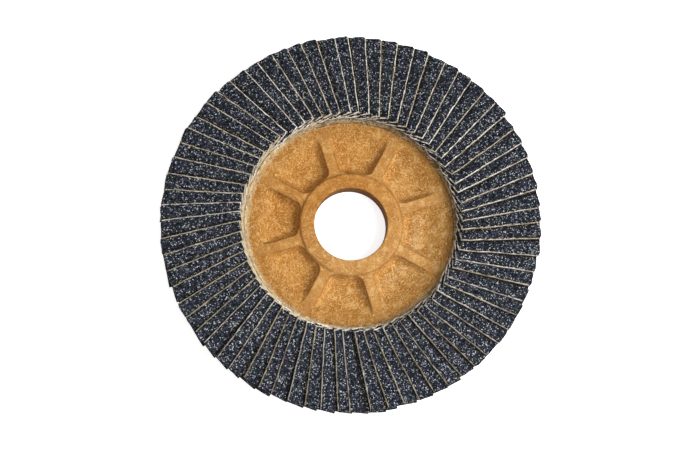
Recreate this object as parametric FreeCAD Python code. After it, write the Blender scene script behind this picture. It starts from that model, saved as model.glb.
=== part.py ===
"""Flap disc for an angle grinder: a ribbed moulded backing plate that carries a ring of overlapping cloth flaps.

Units are millimetres and degrees. +Z is the disc's axis and points out of the working face.
The origin is on the axis, in the plane of the hub's back face, on which the disc lies.
Angles are counted anticlockwise as seen from the working face, from +X.
"""
import FreeCAD, Part
import math
import os

from FreeCAD import Vector

# Bore and hub
bore_diameter = 22.23
bore_chamfer = 0.3
boss_width = 4.55
boss_rise = 0.5
boss_chamfer = 0.3
hub_face_width = 9.4
hub_height = 6.4
hub_edge_chamfer = 0.8

# Rim of the plate, which carries the flaps
rim_thickness = 2.4
rim_edge_chamfer = 0.6
back_cone_inset = 2.6
seat_depth = 0.5

# Ribs and the pockets between them
rib_count = 8
first_rib_angle = 17.5
rib_width = 2.9
rib_draft = 22.0
pocket_depth = 2.9
pocket_corner_radius = 2.4
pocket_floor_width = 8.0
pocket_floor_rise = 0.7
collar_width = 3.0

# Flaps of abrasive cloth
flap_count = 72
disc_diameter = 115.0
flap_length = 24.0
flap_width = 15.0
flap_thickness = 0.97
flap_overhang = 6.3
free_edge_offset = 7.0
first_flap_angle = 2.5

# Adhesive ring
adhesive_bed = 0.6
adhesive_margin = 2.8
foot_engagement = 0.7
bead_width = 1.55
bead_height = 2.0
bead_top_width = 0.65
bead_shoulder = 1.1

# Clearances
flap_play_inner = 0.03
flap_play_outer = 0.30
foot_play = 0.02
bead_play = 0.08
collar_play = 0.05

# Worked out from the sizes above
axis = Vector(0, 0, 1)
centre = Vector(0, 0, 0)
bore_radius = bore_diameter / 2
boss_radius = bore_radius + boss_width
boss_top = hub_height + boss_rise
seat_height = hub_height - seat_depth
foot_height = seat_height + adhesive_bed
flap_pitch = 360 / flap_count
flap_outer_end = math.sqrt((disc_diameter / 2) ** 2 - free_edge_offset ** 2)
flap_inner_end = flap_outer_end - flap_length
plate_radius = disc_diameter / 2 - flap_overhang
adhesive_radius = plate_radius - adhesive_margin
bead_outer = flap_inner_end - bead_play
bead_inner = bead_outer - bead_width
collar_radius = bead_inner - collar_play
run_out_radius = collar_radius - collar_width
rim_root_radius = collar_radius - back_cone_inset


def turned(shape, degrees):
    """A copy of a shape, turned about the disc's axis."""
    copy = shape.copy()
    copy.rotate(centre, axis, degrees)
    return copy


def revolved(section):
    """A solid of revolution about the axis, from a closed section of radius and height pairs."""
    points = [Vector(radius, 0, height) for radius, height in section]
    wire = Part.makePolygon(points + points[:1])
    return Part.Face(wire).revolve(centre, axis, 360)


def plate_blank():
    """The plate without its pockets: hub, cone, collar and rim turned in one section."""
    hub_face_radius = bore_radius + hub_face_width
    rim_back = seat_height - rim_thickness
    cone_slope = rim_back / (rim_root_radius - hub_face_radius)
    return revolved([
        (bore_radius + bore_chamfer, 0),
        (hub_face_radius - hub_edge_chamfer, 0),
        (hub_face_radius + hub_edge_chamfer, hub_edge_chamfer * cone_slope),
        (rim_root_radius, rim_back),
        (plate_radius - rim_edge_chamfer, rim_back),
        (plate_radius, rim_back + rim_edge_chamfer),
        (plate_radius, seat_height),
        (collar_radius, seat_height),
        (collar_radius, hub_height),
        (boss_radius, hub_height),
        (boss_radius, boss_top - boss_chamfer),
        (boss_radius - boss_chamfer, boss_top),
        (bore_radius + bore_chamfer, boss_top),
        (bore_radius, boss_top - bore_chamfer),
        (bore_radius, bore_chamfer),
    ])


def pocket_outline(height):
    """The outline of a pocket at one height, centred on +X, with walls that lean by the draft angle.

    It follows the boss, turns into each rib with a round corner, runs along the ribs and ends beyond the run-out.
    """
    lean = (hub_height - height) * math.tan(math.radians(rib_draft))
    half_rib = rib_width / 2 + lean
    boss_wall = boss_radius + lean
    outer = collar_radius
    half_sector = math.radians(180 / rib_count)
    along = Vector(math.cos(half_sector), math.sin(half_sector), 0)
    inward = Vector(math.sin(half_sector), -math.cos(half_sector), 0)
    corner_offset = half_rib + pocket_corner_radius
    corner_distance = math.sqrt((boss_wall + pocket_corner_radius) ** 2 - corner_offset ** 2)
    corner = along * corner_distance + inward * corner_offset
    on_rib = along * corner_distance + inward * half_rib
    on_boss = corner * (boss_wall / (boss_wall + pocket_corner_radius))
    bisector = (on_rib - corner) + (on_boss - corner)
    on_corner = corner + bisector.normalize() * pocket_corner_radius
    far = along * math.sqrt(outer ** 2 - half_rib ** 2) + inward * half_rib

    def raised(point, side=1):
        return Vector(point.x, side * point.y, height)

    return Part.Wire([
        Part.Arc(raised(on_boss, -1), raised(Vector(boss_wall, 0, 0)), raised(on_boss)).toShape(),
        Part.Arc(raised(on_boss), raised(on_corner), raised(on_rib)).toShape(),
        Part.makeLine(raised(on_rib), raised(far)),
        Part.Arc(raised(far), raised(Vector(outer, 0, 0)), raised(far, -1)).toShape(),
        Part.makeLine(raised(far, -1), raised(on_rib, -1)),
        Part.Arc(raised(on_rib, -1), raised(on_corner, -1), raised(on_boss, -1)).toShape(),
    ])


def pocket_tool():
    """The space between two ribs, deepest at the boss: an almost flat floor, then a steeper rise to the collar."""
    floor = hub_height - pocket_depth
    prism = Part.makeLoft([pocket_outline(floor), pocket_outline(hub_height)], True, True)
    above_floor = revolved([
        (boss_radius, floor),
        (boss_radius + pocket_floor_width, floor + pocket_floor_rise),
        (run_out_radius, hub_height),
        (boss_radius, hub_height),
    ])
    return prism.common(above_floor)


def backing_plate():
    """The moulded plate: the turned blank with the pockets that leave its ribs."""
    tool = pocket_tool()
    sector = 360 / rib_count
    tools = [turned(tool, first_rib_angle + sector * (index + 0.5)) for index in range(rib_count)]
    return plate_blank().cut(tools)


def flap_tilt(distance, play):
    """The angle at which flaps lie on each other, with the given play, at a distance from the axis."""
    spacing = distance * math.radians(flap_pitch)
    return math.asin((flap_thickness + play) / spacing)


inner_tilt = flap_tilt(flap_inner_end, flap_play_inner)
outer_tilt = flap_tilt(flap_outer_end, flap_play_outer)


def flap_directions(tilt):
    """The directions down the cloth from its free edge to its foot, and out of its abrasive side."""
    return Vector(0, math.cos(tilt), -math.sin(tilt)), Vector(0, math.sin(tilt), math.cos(tilt))


def foot_corner(distance, tilt):
    """The lowest corner of a flap's foot, at a distance along the flap's centre line."""
    down, _ = flap_directions(tilt)
    free_edge = Vector(distance, -free_edge_offset, foot_height + flap_width * math.sin(tilt))
    return free_edge + down * flap_width


def flap_section(distance, tilt):
    """The flap's section: foot below, foot above, free edge above and free edge below."""
    down, out = flap_directions(tilt)
    foot = foot_corner(distance, tilt)
    free = foot - down * flap_width
    return [foot, foot + out * flap_thickness, free + out * flap_thickness, free]


def slot_section(distance, tilt, top):
    """The slot that a flap's foot leaves in the adhesive: under the cloth, behind its foot and open above."""
    down, out = flap_directions(tilt)
    corner = foot_corner(distance, tilt) + (down - out) * foot_play
    rise = top - corner.z
    return [corner, corner + out * (rise / out.z), corner + down * (rise / down.z)]


def ruled_solid(near, far):
    """A solid between two sections with as many corners, with straight lines from corner to corner."""
    faces = [
        Part.Face(Part.makePolygon(near + near[:1])),
        Part.Face(Part.makePolygon(far + far[:1])),
    ]
    for index, corner in enumerate(near):
        after = (index + 1) % len(near)
        faces.append(Part.makeRuledSurface(
            Part.makeLine(corner, near[after]),
            Part.makeLine(far[index], far[after]),
        ))
    solid = Part.Solid(Part.makeShell(faces))
    if solid.Volume < 0:
        solid.reverse()
    return solid


def flap():
    """One strip of abrasive cloth, twisted because the spacing of the flaps grows towards the rim."""
    return ruled_solid(flap_section(flap_inner_end, inner_tilt), flap_section(flap_outer_end, outer_tilt))


def adhesive_blank():
    """The adhesive before the flaps are pressed in: a flat bed with a bead inside the flaps."""
    tooth_top = foot_height + foot_engagement
    shoulder = foot_height + bead_shoulder
    crest = foot_height + bead_height
    slant = (bead_width - bead_top_width) / 2
    return revolved([
        (bead_inner, seat_height),
        (adhesive_radius, seat_height),
        (adhesive_radius, tooth_top),
        (bead_outer, tooth_top),
        (bead_outer, shoulder),
        (bead_outer - slant, crest),
        (bead_inner + slant, crest),
        (bead_inner, shoulder),
    ])


def adhesive_ring():
    """The cured adhesive, with one slot for the foot of each flap."""
    top = foot_height + foot_engagement
    slot = ruled_solid(
        slot_section(bead_outer, inner_tilt, top),
        slot_section(flap_outer_end, outer_tilt, top),
    )
    slots = [turned(slot, first_flap_angle + flap_pitch * index) for index in range(flap_count)]
    return adhesive_blank().cut(slots)


os.makedirs("parts", exist_ok=True)
backing_plate().exportStep("parts/backing_plate.step")
adhesive_ring().exportStep("parts/adhesive_ring.step")
strip = flap()
pair_count = flap_count // 2
for number in range(pair_count):
    angle = first_flap_angle + flap_pitch * number
    opposite = angle + flap_pitch * pair_count
    pair = Part.makeCompound([turned(strip, angle), turned(strip, opposite)])
    pair.exportStep(f"parts/flap_pair_{number + 1:02d}.step")
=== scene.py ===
"""Dresses the flap disc: moulded plate, adhesive, abrasive flaps and frayed threads, with light and camera.

Sizes are in millimetres in the dataclasses and become metres when a mesh is made. +Z points out of the
working face, and angles run anticlockwise as seen from there. Every surface is a grid of points worked out
as whole arrays.
"""

import logging
import math
from dataclasses import dataclass, field
from enum import Enum
from typing import Dict, List, Optional, Sequence, Tuple

import bpy
import numpy as np
from mathutils import Matrix, Vector

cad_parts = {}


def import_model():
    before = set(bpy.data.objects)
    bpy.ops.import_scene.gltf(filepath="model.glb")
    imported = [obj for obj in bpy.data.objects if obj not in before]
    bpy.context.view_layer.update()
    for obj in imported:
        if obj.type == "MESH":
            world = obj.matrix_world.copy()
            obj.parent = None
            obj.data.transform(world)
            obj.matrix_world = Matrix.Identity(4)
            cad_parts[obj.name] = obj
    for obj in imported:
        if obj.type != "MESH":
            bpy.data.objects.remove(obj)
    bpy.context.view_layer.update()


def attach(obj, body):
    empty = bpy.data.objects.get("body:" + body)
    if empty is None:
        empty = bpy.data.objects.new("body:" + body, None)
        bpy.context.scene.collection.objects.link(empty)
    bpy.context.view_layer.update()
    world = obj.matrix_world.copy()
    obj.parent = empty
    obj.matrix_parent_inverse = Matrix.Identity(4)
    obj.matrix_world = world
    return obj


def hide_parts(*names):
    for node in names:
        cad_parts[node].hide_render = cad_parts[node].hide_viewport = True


MM = 0.001
ROOT = "root"
LOG = logging.getLogger("flap_disc")

Array = np.ndarray
Colour = Tuple[float, float, float]
Settings = Dict[str, object]
Socket = bpy.types.NodeSocket

# Odd numbers that mix the places of noise cells, and the largest mixed value
CELL_FACTORS = (73856093, 19349663, 83492791)
SEED_FACTOR = 2654435761
MIX_FACTOR = 1274126177
LARGEST = 0xFFFFFF


class Slot(Enum):
    """The record's material slots."""

    PLATE = "fibre_composite"
    ADHESIVE = "adhesive"
    CLOTH = "abrasive_cloth"


def hashed(cells: Array, seed: int) -> Array:
    """Random values from 0 to 1 for whole-number cells.

    Formula: the three coordinates and the seed are multiplied by odd numbers, mixed by shifts and scaled to
    one.

    Args:
        cells: whole numbers, shape (..., 3).
        seed: picks one of many fields.

    Returns:
        Values in 0..1, shape (...).
    """
    x, y, z = (cells[..., i].astype(np.int64) * CELL_FACTORS[i] for i in range(3))
    h = x ^ y ^ z ^ (seed * SEED_FACTOR)
    h = ((h ^ (h >> 13)) * MIX_FACTOR) & 0x7FFFFFFF
    return ((h ^ (h >> 16)) & LARGEST) / float(LARGEST)


def smooth_noise(points: Array, size: float, seed: int) -> Array:
    """Smooth random field in -1..1.

    Formula: hashed values at the eight corners of a cell, blended by the smooth step of the place in it.

    Args:
        points: positions, shape (..., 3).
        size: the width of a cell, in the units of the points.
        seed: picks one of many fields.

    Returns:
        Values in -1..1, shape (...).
    """
    p = points / size
    low = np.floor(p)
    t = p - low
    t = t * t * (3.0 - 2.0 * t)
    total = np.zeros(points.shape[:-1])
    for dx in (0, 1):
        for dy in (0, 1):
            for dz in (0, 1):
                weight = (
                    (t[..., 0] if dx else 1.0 - t[..., 0])
                    * (t[..., 1] if dy else 1.0 - t[..., 1])
                    * (t[..., 2] if dz else 1.0 - t[..., 2])
                )
                total += weight * hashed(low + np.array([dx, dy, dz]), seed)
    return total * 2.0 - 1.0


def smooth_step(x: Array) -> Array:
    """The cubic step from 0 at x = 0 to 1 at x = 1."""
    t = np.clip(x, 0.0, 1.0)
    return t * t * (3.0 - 2.0 * t)


def hump(x: Array, middle: float, width: float) -> Array:
    """The bell curve exp(-((x - middle) / width)^2)."""
    return np.exp(-((x - middle) / width) ** 2)


def soft_min(a: Array, b: Array, k: float) -> Array:
    """The smaller of two values, rounded over a width k.

    Formula: min(a, b) less (k - |a - b|)^2 / 4k where the two are closer than k.

    Args:
        a: the first values.
        b: the second values.
        k: the width of the rounding.

    Returns:
        The rounded minimum.
    """
    gap = np.maximum(k - np.abs(a - b), 0.0)
    return np.minimum(a, b) - gap * gap / (4.0 * k)


def facing(angle: Array, direction: float) -> Array:
    """The cosine of the angle between an angle in radians and a direction in degrees."""
    return np.cos(angle - math.radians(direction))


def round_axis(radius: Array, angle: Array, height: Array) -> Array:
    """The points (r cos a, r sin a, z) at the given distances, angles and heights, shape (n, 3)."""
    return np.stack([radius * np.cos(angle), radius * np.sin(angle), height], -1).reshape(-1, 3)


def section_line(radii: Tuple[float, float], heights: Tuple[float, float], count: int) -> Array:
    """Evenly spaced points of a section, from one radius and height to another, shape (count, 2)."""
    return np.stack([np.linspace(*radii, count), np.linspace(*heights, count)], 1)


def ring_quads(rows: int, columns: int, close_rows: bool) -> Array:
    """Four-cornered faces between closed rings of points stored ring by ring.

    Args:
        rows: the number of rings.
        columns: the number of points in a ring.
        close_rows: whether the last ring joins the first.

    Returns:
        Point numbers, shape (faces, 4), in the order that points outwards here.
    """
    r = np.arange(rows if close_rows else rows - 1)[:, None]
    c = np.arange(columns)[None, :]
    near, far = r * columns, (r + 1) % rows * columns
    c_next = (c + 1) % columns
    return np.stack([far + c, far + c_next, near + c_next, near + c], -1).reshape(-1, 4)


@dataclass
class MeshParts:
    """The arrays of one mesh: points in millimetres, faces, and a value or pair a point for attributes."""

    points: Array
    faces: List[Array]
    values: Dict[str, Array] = field(default_factory=dict)
    cloth_uv: Optional[Array] = None

    @staticmethod
    def joined(parts: Sequence["MeshParts"]) -> "MeshParts":
        """One mesh of several, with the point numbers of the later ones moved up.

        Args:
            parts: meshes with the same attributes.

        Returns:
            The joined mesh.
        """
        faces: List[Array] = []
        start = 0
        for part in parts:
            faces += [f + start for f in part.faces]
            start += len(part.points)
        values = {name: np.concatenate([p.values[name] for p in parts]) for name in parts[0].values}
        uv = None if parts[0].cloth_uv is None else np.concatenate([p.cloth_uv for p in parts])
        return MeshParts(np.concatenate([p.points for p in parts]), faces, values, uv)

    def build(self, name: str, material: bpy.types.Material, smooth: bool) -> bpy.types.Object:
        """Makes the Blender object, in metres, with its place in its mesh.

        Args:
            name: the piece's name.
            material: its one material.
            smooth: whether its faces are shaded as one curved surface.

        Returns:
            The new object, linked to the scene.
        """
        mesh = bpy.data.meshes.new(name)
        loops = np.concatenate([f.reshape(-1) for f in self.faces]).astype(np.int32)
        widths = np.concatenate([np.full(len(f), f.shape[1]) for f in self.faces])
        starts = np.concatenate([[0], np.cumsum(widths)[:-1]]).astype(np.int32)
        mesh.vertices.add(len(self.points))
        mesh.vertices.foreach_set("co", (self.points * MM).astype(np.float32).reshape(-1))
        mesh.loops.add(len(loops))
        mesh.loops.foreach_set("vertex_index", loops)
        mesh.polygons.add(len(widths))
        mesh.polygons.foreach_set("loop_start", starts)
        mesh.polygons.foreach_set("use_smooth", np.full(len(widths), smooth))
        for key, value in self.values.items():
            layer = mesh.attributes.new(key, "FLOAT", "POINT")
            layer.data.foreach_set("value", value.astype(np.float32))
        if self.cloth_uv is not None:
            layer = mesh.uv_layers.new(name="ClothMap")
            layer.data.foreach_set("uv", self.cloth_uv[loops].astype(np.float32).reshape(-1))
        mesh.update(calc_edges=True)
        mesh.validate()
        mesh.materials.append(material)
        piece = bpy.data.objects.new(name, mesh)
        bpy.context.scene.collection.objects.link(piece)
        return piece


def place(piece: bpy.types.Object, nodes: Sequence[str] = ()) -> None:
    """Puts a piece on the body and the nodes it stands for, and reports it.

    Args:
        piece: the finished object.
        nodes: the nodes of the frame that it replaces.
    """
    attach(piece, ROOT)
    if nodes:
        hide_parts(*nodes)
    triangles = sum(len(p.vertices) - 2 for p in piece.data.polygons)
    stands_for = ", ".join(nodes) or "nothing"
    LOG.info("%s: %d points, %d triangles, stands for %s",
             piece.name, len(piece.data.vertices), triangles, stands_for)


# Shader helpers and groups


@dataclass
class NodeTree:
    """Small helper that adds and links nodes in a material or a group."""

    tree: bpy.types.NodeTree

    def fill(self, socket: Socket, value: object) -> None:
        """Links an output to a socket, or sets the socket's own value.

        Args:
            socket: the input to fill.
            value: an output socket, a number, a vector or a colour without its alpha.
        """
        if isinstance(value, bpy.types.NodeSocket):
            self.tree.links.new(value, socket)
        else:
            socket.default_value = (*value, 1.0) if socket.type == "RGBA" else value

    def add(self, kind: str, settings: Optional[Settings] = None, **inputs: object) -> bpy.types.Node:
        """Adds a node, sets its properties and fills its inputs.

        Args:
            kind: the node's type name.
            settings: properties of the node.
            inputs: what fills each input, by its name with underscores for spaces, or by number as i0, i1.

        Returns:
            The new node.
        """
        node = self.tree.nodes.new(kind)
        for key, value in (settings or {}).items():
            setattr(node, key, value)
        for key, value in inputs.items():
            numbered = key[0] == "i" and key[1:].isdigit()
            self.fill(node.inputs[int(key[1:]) if numbered else key.replace("_", " ")], value)
        return node

    def math(self, operation: str, a: object, b: object = 0.0, clamp: bool = False) -> Socket:
        """The output of a Math node."""
        return self.add("ShaderNodeMath", {"operation": operation, "use_clamp": clamp}, i0=a, i1=b).outputs[0]

    def product(self, *values: object) -> Socket:
        """Several values multiplied, from left to right.

        Args:
            values: output sockets or numbers, of which the first is a socket.

        Returns:
            The output of the last Math node.
        """
        total = values[0]
        for value in values[1:]:
            total = self.math("MULTIPLY", total, value)
        return total

    def vector(self, operation: str, *values: object) -> Socket:
        """The output of a Vector Math node."""
        inputs = {f"i{index}": value for index, value in enumerate(values)}
        return self.add("ShaderNodeVectorMath", {"operation": operation}, **inputs).outputs[0]

    def ramp(self, value: object, low: float, high: float, start: float = 0.0, end: float = 1.0) -> Socket:
        """A value carried smoothly from low..high to start..end and kept between them."""
        node = self.add("ShaderNodeMapRange", {"interpolation_type": "SMOOTHSTEP"},
                        i0=value, i1=low, i2=high, i3=start, i4=end)
        return node.outputs[0]

    def mix(self, factor: object, a: object, b: object, kind: str = "MIX") -> Socket:
        """The colour a where the factor is 0, and where it is 1, b laid over a in the given way."""
        settings = {"data_type": "RGBA", "blend_type": kind}
        return self.add("ShaderNodeMix", settings, i0=factor, i6=a, i7=b).outputs[2]

    def noise(self, vector: object, scale: float, detail: float = 2.0, rough: float = 0.5) -> Socket:
        """The value of a noise texture, whose scale is in cells a metre."""
        node = self.add("ShaderNodeTexNoise", Vector=vector, Scale=scale, Detail=detail, Roughness=rough)
        return node.outputs["Fac"]

    def attribute(self, name: str) -> Socket:
        """One of the values that the mesh holds for each point."""
        return self.add("ShaderNodeAttribute", {"attribute_name": name}).outputs["Fac"]

    def group(self, tree: bpy.types.NodeTree, **inputs: object) -> bpy.types.NodeOutputs:
        """The outputs of a shader group placed with its own values."""
        return self.add("ShaderNodeGroup", {"node_tree": tree}, **inputs).outputs


def new_group(name: str, inputs: Dict[str, float], outputs: Sequence[str]
              ) -> Tuple[NodeTree, bpy.types.NodeOutputs, bpy.types.NodeInputs]:
    """Makes an empty shader group.

    Args:
        name: the group's name.
        inputs: each input's default, a number; the input named Vector is a vector and takes none.
        outputs: the names of the outputs; the one named Tint is a colour, the rest are numbers.

    Returns:
        A helper for the group, the sockets that bring its inputs and the sockets that take its outputs.
    """
    tree = bpy.data.node_groups.new(name, "ShaderNodeTree")
    for key, value in inputs.items():
        kind = "NodeSocketVector" if key == "Vector" else "NodeSocketFloat"
        socket = tree.interface.new_socket(name=key, in_out="INPUT", socket_type=kind)
        if key != "Vector":
            socket.default_value = value
    for key in outputs:
        kind = "NodeSocketColor" if key == "Tint" else "NodeSocketFloat"
        tree.interface.new_socket(name=key, in_out="OUTPUT", socket_type=kind)
    n = NodeTree(tree)
    return n, n.add("NodeGroupInput").outputs, n.add("NodeGroupOutput").inputs


def fibre_group() -> bpy.types.NodeTree:
    """Short fibres that lie at random in the surface.

    The place is first moved a little by a slow noise, so that the fibres bend. For each of several directions
    it is then turned, stretched along the fibre and put through noise; the highest parts are fibres.

    Returns:
        The group, with inputs Vector, Length and Width in millimetres and Amount from 0 to 1, and one output,
        Fibres, for a mask or for the height of a bump.
    """
    directions, first_turn, turn_step = 5, 11.0, 36.0
    bend, bend_scale = 0.0009, 210.0
    bare_threshold, threshold_range, steepness = 0.80, 0.22, 11.0
    n, source, sink = new_group("ShortFibres", {"Vector": 0.0, "Length": 2.0, "Width": 0.2, "Amount": 0.5},
                                ["Fibres"])
    wander = n.add("ShaderNodeTexNoise", Vector=source["Vector"], Scale=bend_scale, Detail=1.0, Roughness=0.5)
    offset = n.vector("SUBTRACT", wander.outputs["Color"], (0.5, 0.5, 0.5))
    bent = n.vector("MULTIPLY_ADD", offset, (bend, bend, bend), source["Vector"])
    along = n.math("DIVIDE", 1.0 / MM, source["Length"])
    across = n.math("DIVIDE", 1.0 / MM, source["Width"])
    stretch = n.add("ShaderNodeCombineXYZ", X=along, Y=across, Z=across).outputs[0]
    threshold = n.math("SUBTRACT", bare_threshold, n.product(source["Amount"], threshold_range))
    total = 0.0
    for index in range(directions):
        angle = math.radians(turn_step * index + first_turn)
        turned = n.add("ShaderNodeVectorRotate", {"rotation_type": "Z_AXIS"}, Vector=bent, Angle=angle)
        moved = n.vector("ADD", turned.outputs[0], (0.13 * index, 0.07, 0.0))
        value = n.noise(n.vector("MULTIPLY", moved, stretch), 1.0, 0.0)
        layer = n.math("MULTIPLY", n.math("SUBTRACT", value, threshold), steepness, clamp=True)
        total = n.math("MAXIMUM", total, layer)
    n.fill(sink["Fibres"], total)
    return n.tree


def grain_group() -> bpy.types.NodeTree:
    """Crushed mineral grains: a cell for each grain, with a random value, a height and the gap round it.

    Returns:
        The group, with inputs Vector and Size in millimetres and outputs Value, Tint, Gap and Height.
    """
    outputs = ["Value", "Tint", "Gap", "Height"]
    n, source, sink = new_group("MineralGrains", {"Vector": 0.0, "Size": 0.3}, outputs)
    scale = n.math("DIVIDE", 1.0 / MM, source["Size"])
    cells, edges = (
        n.add("ShaderNodeTexVoronoi", {"feature": feature}, Vector=source["Vector"], Scale=scale)
        for feature in ("F1", "DISTANCE_TO_EDGE")
    )
    parts = n.add("ShaderNodeSeparateColor", Color=cells.outputs["Color"]).outputs
    gap = n.ramp(edges.outputs["Distance"], 0.0, 0.14, 1.0, 0.0)
    height = n.math("SUBTRACT", n.product(parts[1], 0.7), n.product(gap, 0.5))
    for key, value in zip(outputs, (parts[0], cells.outputs["Color"], gap, height)):
        n.fill(sink[key], value)
    return n.tree


def weave_group() -> bpy.types.NodeTree:
    """Plain weave read from the cloth's own map, in millimetres.

    Warp and weft are rounded waves whose crossings take turns on top.

    Returns:
        The group, with input Pitch in millimetres and outputs Height and Shade.
    """
    n, source, sink = new_group("PlainWeave", {"Pitch": 0.4}, ["Height", "Shade"])
    parts = n.add("ShaderNodeSeparateXYZ", Vector=n.add("ShaderNodeUVMap", {"uv_map": "ClothMap"}).outputs[0])
    waves = [n.math("SINE", n.product(n.math("DIVIDE", parts.outputs[axis], source["Pitch"]), math.pi))
             for axis in (0, 1)]
    over = n.product(*(n.math("SIGN", wave) for wave in waves), 0.5)
    warp = n.product(n.math("ADD", 0.5, over), n.math("ABSOLUTE", waves[0]))
    weft = n.product(n.math("SUBTRACT", 0.5, over), n.math("ABSOLUTE", waves[1]))
    height = n.math("ADD", warp, weft)
    n.fill(sink["Height"], height)
    n.fill(sink["Shade"], n.ramp(height, 0.1, 0.9))
    return n.tree


@dataclass(frozen=True)
class Finish:
    """What all the finishes share: an even gloss, and how deep their bumps are."""

    roughness: float = 0.6
    gloss: float = 0.1
    relief: float = 0.0001
    relief_strength: float = 0.5

    def begin(self, name: str) -> Tuple[bpy.types.Material, NodeTree, Socket]:
        """Starts a material.

        Args:
            name: the material's name.

        Returns:
            The material, a helper for its nodes, and the place on the object that its patterns follow.
        """
        material = bpy.data.materials.new(name)
        material.use_nodes = True
        n = NodeTree(material.node_tree)
        return material, n, n.add("ShaderNodeTexCoord").outputs["Object"]

    def end(self, n: NodeTree, colour: Socket, height: Socket) -> bpy.types.Node:
        """Gives a material's shader its colour, bumps and gloss.

        Args:
            n: the helper for the material's nodes.
            colour: the colour over the surface.
            height: the height of the bumps over the surface.

        Returns:
            The shader.
        """
        shader = n.tree.nodes["Principled BSDF"]
        bump = n.add("ShaderNodeBump", Strength=self.relief_strength, Distance=self.relief, Height=height)
        n.fill(shader.inputs["Base Color"], colour)
        n.fill(shader.inputs["Normal"], bump.outputs[0])
        shader.inputs["Roughness"].default_value = self.roughness
        shader.inputs["Specular IOR Level"].default_value = self.gloss
        return shader


@dataclass(frozen=True)
class PlateFinish(Finish):
    """Moulded natural-fibre composite: golden brown, mottled, with short pale fibres and a few dark ones."""

    golden: Colour = (0.515, 0.252, 0.060)
    russet: Colour = (0.390, 0.158, 0.026)
    pale: Colour = (0.820, 0.545, 0.235)
    skin: Colour = (0.760, 0.530, 0.290)
    dark: Colour = (0.150, 0.062, 0.012)
    dust_and_painted_light: Colour = (0.730, 0.590, 0.360)
    shade_tint: Colour = (0.800, 0.660, 0.460)
    cloud_scale: float = 170.0
    patch_scale: float = 430.0
    spot_scale: float = 1250.0
    powder_scale: float = 1900.0
    speckle_scale: float = 3000.0
    roughness: float = 0.62
    gloss: float = 0.03
    relief: float = 0.00012
    relief_strength: float = 0.45

    def material(self, fibres: bpy.types.NodeTree) -> bpy.types.Material:
        """Builds the material from four attributes: painted shade, resin skin, dusting with painted light,
        and painted shade away from the lamp.

        Args:
            fibres: the group of short fibres.

        Returns:
            The finished material.
        """
        material, n, coords = self.begin("FibreComposite")
        painted_shade, skin, dust_and_painted_light, painted_side_shade = (n.attribute(key) for key in ("painted_shade", "skin", "dust_and_painted_light", "painted_side_shade"))
        open_part = n.math("SUBTRACT", 1.0, n.product(skin, 0.35))

        # Broad clouds and patches of the two browns, then fine specks
        cloud = n.noise(coords, self.cloud_scale, 2.0, 0.55)
        patches = n.noise(coords, self.patch_scale, 1.5)
        spots = n.noise(coords, self.spot_scale, 2.0, 0.65)
        speckle = n.noise(coords, self.speckle_scale, 1.0, 0.6)
        base = n.mix(n.ramp(cloud, 0.36, 0.68), self.golden, self.russet)
        base = n.mix(n.ramp(patches, 0.52, 0.68, 0.0, 0.55), base, self.russet)
        base = n.mix(n.ramp(patches, 0.32, 0.46, 0.45, 0.0), base, self.pale)
        base = n.mix(n.product(n.ramp(speckle, 0.52, 0.72, 0.0, 0.5), open_part), base, self.dark)
        base = n.mix(n.product(n.ramp(speckle, 0.30, 0.46, 0.5, 0.0), open_part), base, self.pale)
        base = n.mix(n.product(n.ramp(spots, 0.50, 0.68, 0.0, 0.85), open_part), base, self.russet)

        # Dark and thin pale fibres from two mirror images of the pattern, and full pale ones from itself
        mirrored = n.vector("MULTIPLY", coords, (1.0, -1.0, 1.0))
        reversed_way = n.vector("MULTIPLY", coords, (-1.0, 1.0, 1.0))
        deep = n.group(fibres, Vector=reversed_way, Length=0.9, Width=0.30, Amount=0.34)["Fibres"]
        thin = n.group(fibres, Vector=mirrored, Length=0.85, Width=0.24, Amount=0.50)["Fibres"]
        full = n.group(fibres, Vector=coords, Length=1.45, Width=0.32, Amount=0.40)["Fibres"]
        base = n.mix(n.product(deep, 0.45, open_part), base, self.dark)
        base = n.mix(n.product(thin, 0.42, open_part), base, self.pale)
        base = n.mix(n.product(full, 0.85, open_part), base, self.pale)

        # Resin skin, painted shade in the corners and the bore, painted shade away from the lamp, and dusting
        # with painted light
        base = n.mix(n.product(skin, 0.09), base, self.skin)
        base = n.mix(n.product(painted_shade, 0.58), base, self.dark)
        base = n.mix(painted_side_shade, base, self.shade_tint, "MULTIPLY")
        powder = n.noise(coords, self.powder_scale, 2.0, 0.7)
        dusty = n.ramp(n.math("ADD", dust_and_painted_light, n.product(powder, 0.8)), 0.75, 1.15, 0.0, 0.8)
        base = n.mix(dusty, base, self.dust_and_painted_light)
        height = n.math("ADD", n.math("ADD", n.product(full, 0.6), spots), n.product(thin, 0.3))
        self.end(n, base, height)
        return material


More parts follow.
